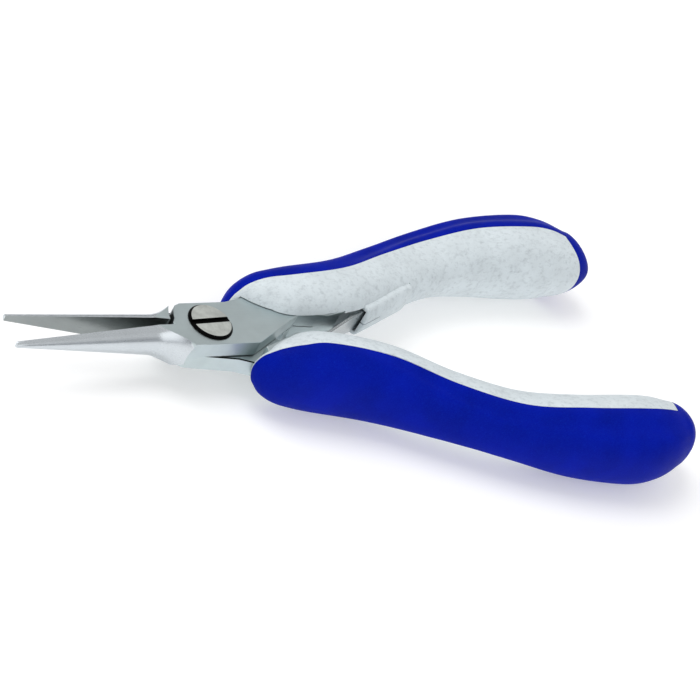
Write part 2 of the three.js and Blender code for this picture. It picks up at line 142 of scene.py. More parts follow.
class Solid:
    """A closed mesh in millimetres that can be joined to others, cut and moved."""

    SHARP = math.radians(28)

    def __init__(self, points: Sequence[Sequence[float]], faces: Sequence[Sequence[int]],
                 finish: Face = Face.MAIN) -> None:
        """Make a solid from its points and faces, all with one finish."""
        mesh = bpy.data.meshes.new("solid")
        mesh.from_pydata([tuple(p) for p in points], [], [tuple(f) for f in faces])
        for _ in Face:
            mesh.materials.append(None)
        mesh.polygons.foreach_set("material_index", [int(finish)] * len(mesh.polygons))
        self.mesh = mesh

    @classmethod
    def slab(cls, outline: Sequence[Point], bottom: float, top: float, chamfers: Point = (0, 0),
             finish: Face = Face.MAIN) -> "Solid":
        """Raise a plan outline into a plate.

        Args:
            outline: The corners, counter-clockwise.
            bottom: The height of the lower face.
            top: The height of the upper face.
            chamfers: The size of the chamfer round the lower face and round the upper one.
            finish: The finish of all its faces.

        Returns:
            The plate.
        """
        rings = []
        for height, chamfer, sign in ((bottom, chamfers[0], 1), (top, chamfers[1], -1)):
            levels = [(height, chamfer), (height + sign * chamfer, 0.0)] if chamfer else [(height, 0.0)]
            for z, amount in levels if sign > 0 else levels[::-1]:
                edge = inset(outline, amount) if amount else outline
                rings.append([(x, y, z) for x, y in edge])
        return cls.loft(rings, finish)

    @classmethod
    def loft(cls, rings: Sequence[Sequence[Sequence[float]]], finish: Face = Face.MAIN) -> "Solid":
        """Skin over rings that run counter-clockwise about the direction of travel.

        Args:
            rings: The rings, each with the same number of points.
            finish: The finish of all its faces.

        Returns:
            The closed solid, with a flat face over each end.
        """
        count = len(rings[0])
        faces = [tuple(reversed(range(count)))]
        for i in range(len(rings) - 1):
            for j in range(count):
                k = (j + 1) % count
                faces.append((i * count + j, i * count + k, (i + 1) * count + k, (i + 1) * count + j))
        faces.append(tuple(range((len(rings) - 1) * count, len(rings) * count)))
        return cls([p for ring in rings for p in ring], faces, finish)

    @classmethod
    def post(cls, centre: Point, radius: float, bottom: float, top: float, chamfer: float = 0.0,
             finish: Face = Face.MAIN) -> "Solid":
        """Stand a round post on a plan point, with a chamfer at both ends."""
        circle = arc(centre, radius, 0, 360, ROUND_STEPS)[:-1]
        return cls.slab(circle, bottom, top, (chamfer, chamfer), finish)

    def _combined(self, other: "Solid", operation: str) -> "Solid":
        """Return the result of one boolean operation on two solids."""
        hosts = [bpy.data.objects.new("host", solid.mesh) for solid in (self, other)]
        for host in hosts:
            bpy.context.scene.collection.objects.link(host)
        modifier = hosts[0].modifiers.new("cut", "BOOLEAN")
        modifier.solver = "MANIFOLD"
        modifier.operation = operation
        modifier.object = hosts[1]
        bpy.context.view_layer.update()
        evaluated = hosts[0].evaluated_get(bpy.context.evaluated_depsgraph_get())
        result = Solid((), ())
        result.mesh = bpy.data.meshes.new_from_object(evaluated)
        for host in hosts:
            bpy.data.objects.remove(host)
        return result

    def __add__(self, other: "Solid") -> "Solid":
        """Return both solids joined."""
        return self._combined(other, "UNION")

    def __sub__(self, other: "Solid") -> "Solid":
        """Return this solid with the other cut out of it."""
        return self._combined(other, "DIFFERENCE")

    def __and__(self, other: "Solid") -> "Solid":
        """Return what the two solids share."""
        return self._combined(other, "INTERSECT")

    def moved(self, matrix: Matrix) -> "Solid":
        """Return a copy moved by a matrix."""
        result = Solid((), ())
        result.mesh = self.mesh.copy()
        result.mesh.transform(matrix)
        return result

    def painted(self, finish: Face, chosen: Callable[[Vector, Vector], bool]) -> "Solid":
        """Give a finish to the faces that a test of middle and normal chooses, and return self."""
        for polygon in self.mesh.polygons:
            if chosen(polygon.center, polygon.normal):
                polygon.material_index = int(finish)
        return self

    def piece(self, name: str, matrix: Matrix, finishes: Sequence[bpy.types.Material]) -> bpy.types.Object:
        """Turn the solid into a finished object in metres.

        Args:
            name: The object's name.
            matrix: What takes millimetres in the closed frame to its place at rest.
            finishes: The materials, in the order of Face.

        Returns:
            The object, linked to the scene.
        """
        work = bmesh.new()
        work.from_mesh(self.mesh)
        bmesh.ops.remove_doubles(work, verts=work.verts, dist=WELD)
        bmesh.ops.dissolve_degenerate(work, dist=WELD, edges=work.edges)
        for face in work.faces:
            face.smooth = True
            face.material_index = min(face.material_index, len(finishes) - 1)
        for edge in work.edges:
            edge.smooth = edge.calc_face_angle(0.0) < self.SHARP
        mesh = bpy.data.meshes.new(name)
        work.to_mesh(mesh)
        work.free()
        mesh.transform(matrix)
        for finish in finishes:
            mesh.materials.append(finish)
        made = bpy.data.objects.new(name, mesh)
        bpy.context.scene.collection.objects.link(made)
        return made


# ---------------------------------------------------------------- places in the frame


def joint_place(name: str) -> Vector:
    """Return where one of the joints is, in metres."""
    return Vector(next(joint["pos_m"] for joint in frame["joints"] if joint["name"] == name))


class Half(Enum):
    """The two halves of the pliers, by the body that each is, and how each stands at rest."""

    LOWER = "lower_handle"
    UPPER = "upper_handle"

    def matrix(self, over: bool = False) -> Matrix:
        """Return what lays millimetres of the closed frame in place, if need be turned over first."""
        turn = math.radians(OPEN_ANGLE if self is Half.UPPER else -OPEN_ANGLE)
        lay = Matrix.Rotation(math.pi, 4, "X") if over else Matrix.Identity(4)
        place = Matrix.Translation(joint_place("pivot")) @ Matrix.Rotation(turn, 4, "Z")
        return place @ lay @ Matrix.Scale(MM, 4)


def fit(piece: bpy.types.Object, body: str, node: str) -> None:
    """Make a piece ride on its body and stand for its node, whose own part it hides, and report it."""
    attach(piece, body)
    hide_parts(node)
    LOG.info("%s: %d faces on %s", piece.name, len(piece.data.polygons), body)


# ---------------------------------------------------------------- shader graphs


def math_node(operation: str, swapped: bool = False) -> Callable[["Wire", Any], "Wire"]:
    """Make the method of Wire for one Math node, with the other value first if swapped."""

    def method(self: "Wire", other: Any) -> "Wire":
        """Return the node's result."""
        first, second = (other, self) if swapped else (self, other)
        return self.graph.node("ShaderNodeMath", {"operation": operation}, {0: first, 1: second})

    return method


@dataclass(frozen=True)
class Wire:
    """A value that runs through a material's nodes, with the sums that finishes use."""

    graph: "Graph"
    socket: bpy.types.NodeSocket

    __add__, __radd__ = math_node("ADD"), math_node("ADD", True)
    __sub__, __rsub__ = math_node("SUBTRACT"), math_node("SUBTRACT", True)
    __mul__, __rmul__ = math_node("MULTIPLY"), math_node("MULTIPLY", True)


class Graph:
    """The nodes of one material, ending in a Principled shader."""

    def __init__(self, name: str) -> None:
        """Start an empty material with a name."""
        self.material = bpy.data.materials.new(name)
        self.material.use_nodes = True
        self.tree = self.material.node_tree
        self.tree.nodes.clear()

    def node(self, kind: str, settings: Mapping[str, Any], sockets: Mapping[Any, Any],
             output: int | str = 0) -> Wire:
        """Add a node.

        Args:
            kind: The node's type.
            settings: Its own settings.
            sockets: Values or wires for its input sockets, by name or number.
            output: The output that is wanted.

        Returns:
            The wire from that output.
        """
        made = self.tree.nodes.new(kind)
        for name, value in settings.items():
            setattr(made, name, value)
        for name, value in sockets.items():
            if isinstance(value, Wire):
                self.tree.links.new(value.socket, made.inputs[name])
            else:
                made.inputs[name].default_value = value
        return Wire(self, made.outputs[output])

    def places(self, size: Sequence[float]) -> Wire:
        """Return the surface's own coordinates, divided by a size in millimetres on each axis."""
        own = self.node("ShaderNodeTexCoord", {}, {}, "Object")
        scale = [1 / (s * MM) for s in size]
        return self.node("ShaderNodeVectorMath", {"operation": "MULTIPLY"}, {0: own, 1: scale})

    def noise(self, size: Sequence[float], detail: float = 2.0, roughness: float = 0.5) -> Wire:
        """Return noise whose grain has a size in millimetres on each axis."""
        return self.node("ShaderNodeTexNoise", {}, {
            "Vector": self.places(size), "Scale": 1.0, "Detail": detail, "Roughness": roughness})

    def mask(self, value: Wire, low: float, high: float) -> Wire:
        """Return a value spread so that low gives 0 and high gives 1."""
        return self.node("ShaderNodeMapRange", {"clamp": True}, {
            "Value": value, "From Min": low, "From Max": high, "To Min": 0.0, "To Max": 1.0})

    def mixed(self, share: Wire, first: Any, second: Any) -> Wire:
        """Return a blend of two colours."""
        return self.node("ShaderNodeMix", {"data_type": "RGBA"}, {0: share, 6: first, 7: second}, 2)

    def bump(self, height: Wire, depth: float) -> Wire:
        """Return a normal bent by a height field, with its depth in millimetres."""
        return self.node("ShaderNodeBump", {}, {"Height": height, "Strength": 1.0, "Distance": depth * MM})

    def close(self, sockets: Mapping[str, Any]) -> bpy.types.Material:
        """End the graph in a Principled shader with these sockets, and return the material."""
        shader = self.node("ShaderNodeBsdfPrincipled", {}, sockets)
        out = self.tree.nodes.new("ShaderNodeOutputMaterial")
        self.tree.links.new(shader.socket, out.inputs["Surface"])
        return self.material


def rgba(colour: Colour, share: float = 1.0) -> tuple[float, float, float, float]:
    """Return a colour made brighter or darker, with full cover."""
    return (colour[0] * share, colour[1] * share, colour[2] * share, 1.0)


# ---------------------------------------------------------------- finishes


@dataclass(frozen=True)
class Steel:
    """Ground or polished steel: grinding marks, faint clouding and fine scratches."""

    name: str
    colour: Colour
    roughness: float
    marks: tuple[float, float, float] = (6.0, 0.12, 0.12)
    depth: float = 0.002
    clouding: float = 0.06

    def material(self) -> bpy.types.Material:
        """Build the finish."""
        graph = Graph(self.name)
        grain = graph.noise(self.marks, 3.0, 0.6)
        cloud = graph.noise((4.0, 4.0, 4.0), 2.0)
        scratch = graph.mask(graph.noise((0.05, 3.5, 0.6), 1.0), 0.66, 0.74)
        light = rgba(self.colour, 1 + self.clouding)
        dark = rgba(self.colour, 1 - self.clouding)
        base = graph.mixed(graph.mask(cloud * 0.6 + grain * 0.4, 0.35, 0.65), dark, light)
        rough = self.roughness * (0.75 + 0.5 * grain) + 0.06 * scratch
        normal = graph.bump(grain - 0.4 * scratch, self.depth)
        return graph.close({"Base Color": base, "Metallic": 1.0, "Roughness": rough, "Normal": normal})


@dataclass(frozen=True)
class TurnedSteel:
    """Steel faced on a lathe, with fine rings about an upright axis."""

    name: str
    colour: Colour
    roughness: float
    centre: Vector
    pitch: float = 0.11

    def material(self) -> bpy.types.Material:
        """Build the finish."""
        graph = Graph(self.name)
        own = graph.node("ShaderNodeTexCoord", {}, {}, "Object")
        middle = graph.node("ShaderNodeVectorMath", {"operation": "SUBTRACT"},
                            {0: own, 1: tuple(self.centre)})
        flat = graph.node("ShaderNodeVectorMath", {"operation": "MULTIPLY"}, {0: middle, 1: (1, 1, 0)})
        radius = graph.node("ShaderNodeVectorMath", {"operation": "LENGTH"}, {0: flat}, "Value")
        turns = graph.node("ShaderNodeMath", {"operation": "SINE"},
                           {0: radius * (2 * math.pi / (self.pitch * MM))})
        grain = graph.noise((0.12, 0.12, 0.12), 2.0)
        rings = (turns * 0.5 + 0.5) * 0.6 + grain * 0.4
        cloud = graph.mask(graph.noise((1.6, 1.6, 1.6), 2.0), 0.35, 0.65)
        base = graph.mixed(cloud * 0.7 + rings * 0.3, rgba(self.colour, 0.78), rgba(self.colour, 1.05))
        return graph.close({
            "Base Color": base, "Metallic": 1.0, "Roughness": self.roughness * (0.8 + 0.4 * grain),
            "Normal": graph.bump(rings, 0.002)})


@dataclass(frozen=True)
class FleckedPlastic:
    """Pale moulded plastic with faint grey flecks and fibres all through it."""

    name: str
    colour: Colour
    fleck: Colour
    roughness: float = 0.5

    def material(self) -> bpy.types.Material:
        """Build the finish."""
        graph = Graph(self.name)
        cloud = graph.noise((5.0, 5.0, 5.0), 3.0, 0.6)
        specks = graph.mask(graph.noise((1.3, 0.9, 1.1), 4.0, 0.7), 0.5, 0.78)
        fibres = graph.mask(graph.noise((1.7, 0.35, 0.6), 2.0, 0.6), 0.6, 0.78)
        pale = graph.mixed(graph.mask(cloud, 0.3, 0.7), rgba(self.colour, 0.92), rgba(self.colour, 1.03))
        flecked = graph.mixed(specks * 0.75, pale, rgba(self.fleck))
        base = graph.mixed(fibres * 0.4, flecked, rgba(self.fleck, 0.85))
        skin = graph.noise((0.16, 0.16, 0.16), 3.0, 0.6)
        rough = self.roughness + 0.12 * (skin - 0.5)
        return graph.close({
            "Base Color": base, "Roughness": rough, "Normal": graph.bump(skin, 0.012),
            "Specular IOR Level": 0.4, "Subsurface Weight": 0.06, "Subsurface Scale": 0.6 * MM,
            "Subsurface Radius": (1.0, 1.0, 1.0)})


@dataclass(frozen=True)
class SoftElastomer:
    """Soft grip rubber with an eroded, matt surface that pales a little where light grazes it."""

    name: str
    colour: Colour
    bloom: Colour
    roughness: float = 0.52

    def material(self) -> bpy.types.Material:
        """Build the finish."""
        graph = Graph(self.name)
        cloud = graph.noise((9.0, 9.0, 9.0), 3.0, 0.55)
        grain = graph.noise((0.22, 0.22, 0.22), 3.0, 0.65)
        dust = graph.mask(graph.noise((0.5, 0.5, 0.5), 3.0, 0.7), 0.6, 0.75)
        deep = graph.mixed(graph.mask(cloud, 0.32, 0.68), rgba(self.colour, 0.8), rgba(self.colour, 1.1))
        base = graph.mixed(dust * 0.2 + graph.mask(grain, 0.4, 0.8) * 0.25, deep, rgba(self.bloom))
        rough = self.roughness + 0.16 * (grain - 0.5)
        return graph.close({
            "Base Color": base, "Roughness": rough, "Normal": graph.bump(grain, 0.02),
            "Specular IOR Level": 0.035, "Sheen Weight": 0.03, "Sheen Roughness": 0.5,
            "Sheen Tint": rgba(self.bloom)})


class Finishes:
    """All the finishes of the pliers."""

    def __init__(self) -> None:
        """Build every material once."""
        self.satin = Steel("satin_steel", (0.53, 0.605, 0.615), 0.37).material()
        self.polished = Steel("polished_steel", (0.60, 0.64, 0.67), 0.27, (9.0, 0.1, 0.1), 0.0006,
                              0.03).material()
        # Darker steel that is painted shade: it darkens the gripping faces and the walls of the bore and
        # the spring's seat, where shade falls.
        self.painted_shade = Steel("painted_shade_steel", (0.30, 0.325, 0.325), 0.3, (5.0, 0.1, 0.1),
                               0.001).material()
        self.turned = TurnedSteel("turned_steel", (0.74, 0.77, 0.73), 0.3,
                                  joint_place("pivot")).material()
        # Near-black steel that is painted shadow: it blackens the hub recess at the crotch, the lap chamfer
        # and the screw head's sides and slot.
        self.painted_shadow = Steel("painted_shadow_steel", (0.004, 0.004, 0.004), 0.6).material()
        self.spring = Steel("spring_steel", (0.46, 0.49, 0.5), 0.26, (0.15, 5.0, 0.15)).material()
        self.plastic = FleckedPlastic("flecked_plastic", (0.70, 0.765, 0.795),
                                      (0.42, 0.47, 0.50)).material()
        self.elastomer = SoftElastomer("soft_elastomer", (0.0002, 0.0065, 0.31),
                                       (0.006, 0.05, 0.6)).material()


# ---------------------------------------------------------------- grip form


@dataclass
class GripForm:
    """The outside of a grip: sections along a bent centre line, rounded at both ends.

    A section is a point of the centre line, how far the grip reaches inwards and outwards from it,
    and its half height. The nose and the tail are the length, the lean, the drift and the taper of
    the rounding beyond the first and the last section.
    """

    sections: tuple[tuple[float, float, float, float, float], ...] = (
        (10.1, 7.6, 1.5, 2.0, 3.8),
        (12.5, 8.0, 3.7, 3.55, 6.0),
        (16.5, 8.1, 5.9, 5.0, 7.6),
        (23, 7.9, 7.7, 6.05, 8.55),
        (37, 9.8, 8.2, 6.15, 8.3),
        (51, 14.8, 8.2, 5.5, 7.0),
        (66, 19.0, 8.2, 6.05, 6.85),
        (80, 20.45, 8.15, 7.65, 8.7),
        (94, 20.1, 8.6, 9.05, 9.4),
        (101, 19.35, 8.3, 8.65, 8.95),
        (107, 18.0, 7.05, 7.05, 7.35),
    )
    nose: tuple[float, float, float, float] = (1.2, -0.16, -0.42, 0.28)
    tail: tuple[float, float, float, float] = (7.0, -0.225, -2.0, 0.22)
    squareness: float = 2.2
    steps_along: int = 10
    steps_round: int = 96
    end_rings: int = 12
    end_stop: float = 0.4
    nose_reach: float = 2.0
    panel_steps: int = 40
    core_front: float = 8.0
    core_margin: float = 1.7
    core_rounding: float = 6.4
    core_side_margin: float = 1.5
    valley_depth: float = 0.8
    valley_reach: float = 24.0
    valley_fade: tuple[float, float, float, float] = (28, 48, 96, 110)
    valley_line: tuple[Point, ...] = ((30, 84), (45, 72), (60, 60), (80, 60), (112, 66))
    bar_start: float = 28.0
    bar_end_margin: float = 20.0
    bar_stub: float = 0.01

    def run(self) -> list[tuple[Vector, Vector, Vector]]:
        """Return the centre, the way across and the section sizes at many steps along the grip."""
        centres, ways = smooth_line([(x, y, 0) for x, y, *_ in self.sections], self.steps_along)
        sizes, _ = smooth_line([s[2:] for s in self.sections], self.steps_along)
        out = []
        for centre, way, size in zip(centres, ways, sizes):
            out.append((Vector(centre), Vector((-way[1], way[0], 0)).normalized(), Vector(size)))
        return out

    def valley(self, x: float, angle: float) -> float:
        """Return how deep the skin's soft valley is, by place and angle from the outermost point."""
        places, angles = zip(*self.valley_line)
        middle = float(np.interp(x, places, angles))
        fade = float(np.interp(x, self.valley_fade, (0, 1, 1, 0)))
        off = min(abs(abs(angle) - middle) / self.valley_reach, 1.0)
        return self.valley_depth * fade * math.cos(off * math.pi / 2) ** 2

    def ring(self, centre: Vector, across: Vector, size: Vector, scale: float = 1.0,
             valley: bool = False) -> list[Vector]:
        """Return the points round one section, as a superellipse with two unlike halves."""
        power = 2 / self.squareness
        points = []
        for j in range(self.steps_round):
            angle = math.tau * (j + 0.5) / self.steps_round
            c, s = math.cos(angle), math.sin(angle)
            sunk = 0.0
            if valley and c > 0:
                sunk = self.valley(centre.x, math.degrees(math.atan2(s, c)))
            share = scale * (1 - sunk / size.z)
            out = math.copysign(abs(c) ** power, c) * (size.y if c > 0 else size.x) * share
            up = math.copysign(abs(s) ** power, s) * size.z * share
            points.append(centre + across * out + Vector((0, 0, up)))
        return points

    def body(self, valley: bool = False) -> Solid:
        """Return the whole grip, before it is parted and hollowed."""
        run = self.run()
        rings = [self.ring(*section, valley=valley) for section in run]
        for (length, lean, drift, taper), (centre, across, size), way in (
                (self.nose, run[0], -1), (self.tail, run[-1], 1)):
            for i in range(1, self.end_rings + 1):
                angle = math.radians(90 * i / (self.end_rings + self.end_stop))
                travel, left = math.sin(angle), math.cos(angle)
                shift = Vector((way * length * travel, lean * length * travel + drift * (1 - left), 0))
                ring = self.ring(centre + shift, across, size, left * (1 - taper * travel))
                rings.insert(0 if way < 0 else len(rings), ring)
        return Solid.loft(rings)

    def inner_side(self, inwards: float) -> Solid:
        """Return everything on the inner side of the centre line, moved inwards by an amount."""
        edge = [tuple((centre - across * inwards).xy) for centre, across, _ in self.run()]
        reach = self.nose_reach
        first = (edge[0][0] - reach * self.nose[0], edge[0][1] + reach * self.nose[2])
        end = (edge[-1][0] + FAR, edge[-1][1])
        outline = [(first[0], -FAR), (end[0], -FAR), end, *reversed(edge), first]
        return Solid.slab(outline, -FAR, FAR)

    def panel_side(self, grown: float) -> Solid:
        """Return the core's side view drawn right through: a long panel with a round far end."""
        last = self.sections[-1]
        end = last[0] + self.core_margin + grown
        start = end - self.core_rounding - grown
        half = last[4] + self.core_side_margin + grown
        curve = []
        for i in range(self.panel_steps + 1):
            angle = math.radians(-90 + 180 * i / self.panel_steps)
            curve.append((start + (end - start) * math.cos(angle), half * math.sin(angle)))
        front = self.core_front - grown
        outline = [(front, -FAR), (start, -FAR), *curve, (start, FAR), (front, FAR)]
        return Solid.slab(outline, -FAR, FAR).moved(Matrix.Rotation(math.pi / 2, 4, "X"))

    def bar_plan(self, half_width: float, beyond: float = 0.0) -> list[Point]:
        """Return the plan of a bar along the centre line, up to where the tang ends."""
        limit = self.sections[-1][0] - self.bar_end_margin
        run = [s for s in self.run() if self.bar_start < s[0].x < limit]
        sides = []
        for sign in (-1, 1):
            side = [tuple((centre + across * sign * half_width).xy) for centre, across, _ in run]
            side.append((side[-1][0] + beyond + self.bar_stub, side[-1][1]))
            sides.append(side)
        return sides[0] + sides[1][::-1]


# ---------------------------------------------------------------- steel halves


@dataclass
class SteelHalf:
    """One forged half: a half-round jaw, a lap plate and a tang. Both halves are alike."""

    form: GripForm
    half_thickness: float = 3.7
    head_top: float = 5.57
    head_bottom: float = 5.7
    top_span: Point = (-4.5, 6.4)
    bottom_start: float = -6.35
    front_radius: float = 7.7
    shoulder_radius: float = 8.8
    head_rear: float = 9.2
    front_arc: Point = (167.0, 139.0)
    crotch_length: float = 1.8
    crotch_top: float = 0.5
    jaw_reach: float = 42.4
    tip: Point = (0.62, 0.9)
    root: Point = (3.55, 2.75)
    flare_start: float = 13.0
    flare_rate: float = 0.068
    flare_end: float = 4.0
    tip_rounding: float = 0.18
    tip_rings: tuple[Point, ...] = ((0.0, 0.82), (0.35, 0.94))
    tip_lift: float = 0.3
    shank_rings: int = 14
    flare_rings: int = 26
    jaw_steps: int = 48
    facing: float = 0.9
    front_steps: int = 14
    wall_start: Point = (22.9, 1.64)
    wall_low: Point = (30.0, 0.9)
    root_end: float = 34.5
    root_rise: float = 0.9
    root_front: Point = (10.9, 6.7)
    back: tuple[Point, ...] = ((10.4, 6.4), (15, 8.6), (22, 10.4), (30, 11.2), (34.5, 11.4))
    bar: Point = (2.6, 2.4)
    groove_start: Point = (27.0, 1.1)
    groove_level: float = 2.4
    groove_half_width: float = 2.85
    bore_radius: float = 2.55
    chamfer: float = 0.14
    lap_chamfer: float = 0.2

    def jaw_size(self, distance: float, which: int) -> float:
        """Return the jaw's half thickness (0) or depth (1) at a distance from the pivot."""
        rate = (self.root[which] - self.tip[which]) / (self.jaw_reach - self.flare_start)
        inwards = max(0.0, self.flare_start - distance)
        return self.tip[which] + rate * (self.jaw_reach - distance) + self.flare_rate * inwards ** 2

    def jaw(self) -> Solid:
        """Return the jaw: a flat gripping face and a round back that flares into the head."""
        shank = np.linspace(self.jaw_reach - self.tip_rounding, self.flare_start, self.shank_rings)
        flare = np.linspace(self.flare_start, self.flare_end, self.flare_rings)[1:]
        stations = [(self.jaw_reach - self.tip_rounding * back, share) for back, share in self.tip_rings]
        stations += [(float(d), 1.0) for d in (*shank, *flare)]
        rings = []
        for distance, share in stations:
            half = self.jaw_size(distance, 0) * share
            depth = self.jaw_size(distance, 1) * share
            ring = []
            for j in range(self.jaw_steps + 1):
                angle = math.pi * j / self.jaw_steps
                y = -FACE_GAP / 2 - (1 - share) * self.tip_lift - depth * math.sin(angle)
                ring.append((-distance, y, half * math.cos(angle)))
            rings.append(ring)
        loft = Solid.loft(rings, Face.SECOND)
        # The gripping faces take the darker steel: painted shade where the two jaws face each other.
        loft.painted(Face.DARK, lambda middle, normal: normal.y > self.facing)
        room = Solid.slab([(-FAR, -self.head_bottom), (0, -self.head_bottom), (0, 0), (-FAR, 0)],
                          -self.half_thickness, self.half_thickness)
        # The hub cut's wall takes the near-black steel: a painted shadow in the recess at the crotch.
        hub = Solid.post((0, 0), self.shoulder_radius, -FAR, LAP_GAP / 2, 0, Face.BLACK)
        return (loft & room) - hub

    def wall(self) -> list[Point]:
        """Return the exposed inner wall of the tang's root, from the joint to the root's end."""
        return [self.wall_start, self.wall_low, (self.root_end, self.wall_low[1] + self.root_rise)]

    def plate(self) -> Solid:
        """Return the joint plate on the near side of the lap, with the tang's root behind it."""
        crotch = SWING_GAP - self.shoulder_radius
        outline = [
            (crotch - self.crotch_length, -FACE_GAP / 2),
            (self.bottom_start, -self.head_bottom),
            (self.head_rear, -self.head_bottom),
            *self.wall(),
            *reversed(self.back),
            (self.top_span[1], self.head_top),
            (self.top_span[0], self.head_top),
            *reversed(arc((0, 0), self.front_radius, *self.front_arc, self.front_steps)),
            (crotch, self.crotch_top),
            (crotch, -FACE_GAP / 2),
        ]
        plate = Solid.slab(outline, LAP_GAP / 2, self.half_thickness, (self.lap_chamfer, self.chamfer))
        # The chamfer round the plate's lower face takes the near-black steel: a painted shadow line along
        # the lap.
        under = LAP_GAP / 2 + self.lap_chamfer
        return plate.painted(Face.BLACK, lambda middle, normal: LAP_GAP < middle.z < under)

    def tang_root(self) -> Solid:
        """Return the tang's root on the far side of the lap, behind the other half's plate."""
        slope = (self.wall_start[1] + self.head_bottom) / (self.wall_start[0] - self.head_rear)
        lift = SWING_GAP * math.hypot(1, slope)

        def shoulder(x: float) -> Point:
            """Return the point above x on the shoulder that faces the other plate."""
            return (x, self.head_bottom + lift - slope * (x - self.head_rear))

        corner = self.head_rear + (2 * self.head_bottom + lift) / (2 * slope)
        outline = [shoulder(self.root_front[0]), shoulder(corner), *self.wall(),
                   *reversed(self.back[1:]), self.root_front]
        return Solid.slab(outline, -self.half_thickness, LAP_GAP, (self.chamfer, 0))

    def forging(self) -> Solid:
        """Return one whole half, before the details that differ between the two."""
        width, thickness = self.bar
        bar = Solid.slab(self.form.bar_plan(width), -thickness, thickness)
        whole = self.jaw() + self.plate() + self.tang_root() + bar
        # The bore's wall takes the darker steel: painted shade inside the hole.
        bore = Solid.post((0, 0), self.bore_radius, -FAR, FAR, 0, Face.DARK)
        return whole - bore - self.groove()

    def groove(self) -> Solid:
        """Return the groove along the tang's inner wall, where the leaf lies when shut."""
        end = self.root_end + self.root_rise
        x, y = self.groove_start
        width = self.groove_half_width
        return Solid.slab([(x, y), (x, -FAR), (end, -FAR), (end, self.groove_level)], -width, width)

    def room(self) -> Solid:
        """Return what the steel takes out of a grip: the tang with a fitting gap."""
        upper = [(x, y + SEAT_GAP) for x, y in ((self.top_span[1], self.head_top), *self.back)]
        end = self.root_end + SEAT_GAP
        outline = [(self.top_span[1], -FAR), (end, -FAR), (end, upper[-1][1]), *reversed(upper)]
        thick = self.half_thickness + SEAT_GAP
        width, thickness = self.bar
        slim = self.form.bar_plan(width + SEAT_GAP, 2 * SEAT_GAP)
        return Solid.slab(outline, -thick, thick) + Solid.slab(slim, -thickness - SEAT_GAP,
                                                               thickness + SEAT_GAP)


# ---------------------------------------------------------------- spring and pocket


@dataclass
class ReturnSpring:
    """The leaf spring with its rolled eye, the pin that holds it, and the room they need."""

    pin: Point = (21.6, -3.05)
    angle: float = 34.4
    length: float = 18.9
    end_angle: float = 27.1
    end_length: float = 4.6
    thickness: float = 0.6
    half_width: float = 2.6
    side_gap: float = 0.25
    shut_angle: float = 17.2
    pin_radius: float = 0.8
    pin_clearance: float = 0.05
    pin_half_length: float = 3.3
    bend_reach: float = 1.6
    bend_steps: int = 8
    edge: float = 0.09
    pin_edge: float = 0.15

    @property
    def room(self) -> float:
        """The half width of every slot that the leaf moves in."""
        return self.half_width + self.side_gap

    def bend(self) -> Point:
        """Return where the leaf's two straight stretches would meet."""
        return away(self.pin, self.length, self.angle)

    def leaf(self) -> Solid:
        """Return the strip with its eye and its soft bend."""
        bend = self.bend()
        line = [self.pin]
        for i in range(self.bend_steps + 1):
            t = i / self.bend_steps
            start = away(bend, -self.bend_reach, self.angle)
            end = away(bend, self.bend_reach, self.end_angle)
            first = Vector(start).lerp(Vector(bend), t)
            second = Vector(bend).lerp(Vector(end), t)
            line.append(tuple(first.lerp(second, t)))
        line.append(away(bend, self.end_length, self.end_angle))
        sides: list[list[Point]] = [[], []]
        for i, here in enumerate(line):
            before, after = line[max(i - 1, 0)], line[min(i + 1, len(line) - 1)]
            heading = math.degrees(math.atan2(after[1] - before[1], after[0] - before[0]))
            for side, sign in zip(sides, (-1, 1)):
                side.append(away(here, sign * self.thickness / 2, heading + 90))
        edges = (self.edge, self.edge)
        strip = Solid.slab(sides[0] + sides[1][::-1], -self.half_width, self.half_width, edges)
        bore = self.pin_radius + self.pin_clearance
        eye = Solid.post(self.pin, bore + self.thickness, -self.half_width, self.half_width, self.edge)
        return strip + eye - Solid.post(self.pin, bore, -FAR, FAR)

    def cross_pin(self) -> Solid:
        """Return the pin through the eye, between the cheeks of the lower tang."""
        half = self.pin_half_length
        return Solid.post(self.pin, self.pin_radius, -half, half, self.pin_edge)

    def seat(self, wall_x: float) -> Solid:
        """Return what is cut from the lower tang: the eye's seat, the leaf's fold and the pin's hole."""
        eye = self.pin_radius + self.pin_clearance + self.thickness + SWING_GAP
        floor = away(self.pin, self.thickness / 2 + SEAT_GAP, self.shut_angle - 90)
        end = away(floor, wall_x - floor[0], self.shut_angle)
        rear = self.pin[0] - eye
        outline = [floor, end, (end[0], FAR), (rear, FAR), (rear, self.pin[1])]
        hole = Solid.post(self.pin, self.pin_radius + self.pin_clearance, -FAR, FAR)
        # The fold and the eye's seat cut their walls in the darker steel: painted shade in the recess.
        fold = Solid.slab(outline, -self.room, self.room, finish=Face.DARK)
        return fold + Solid.post(self.pin, eye, -self.room, self.room, 0, Face.DARK) + hole


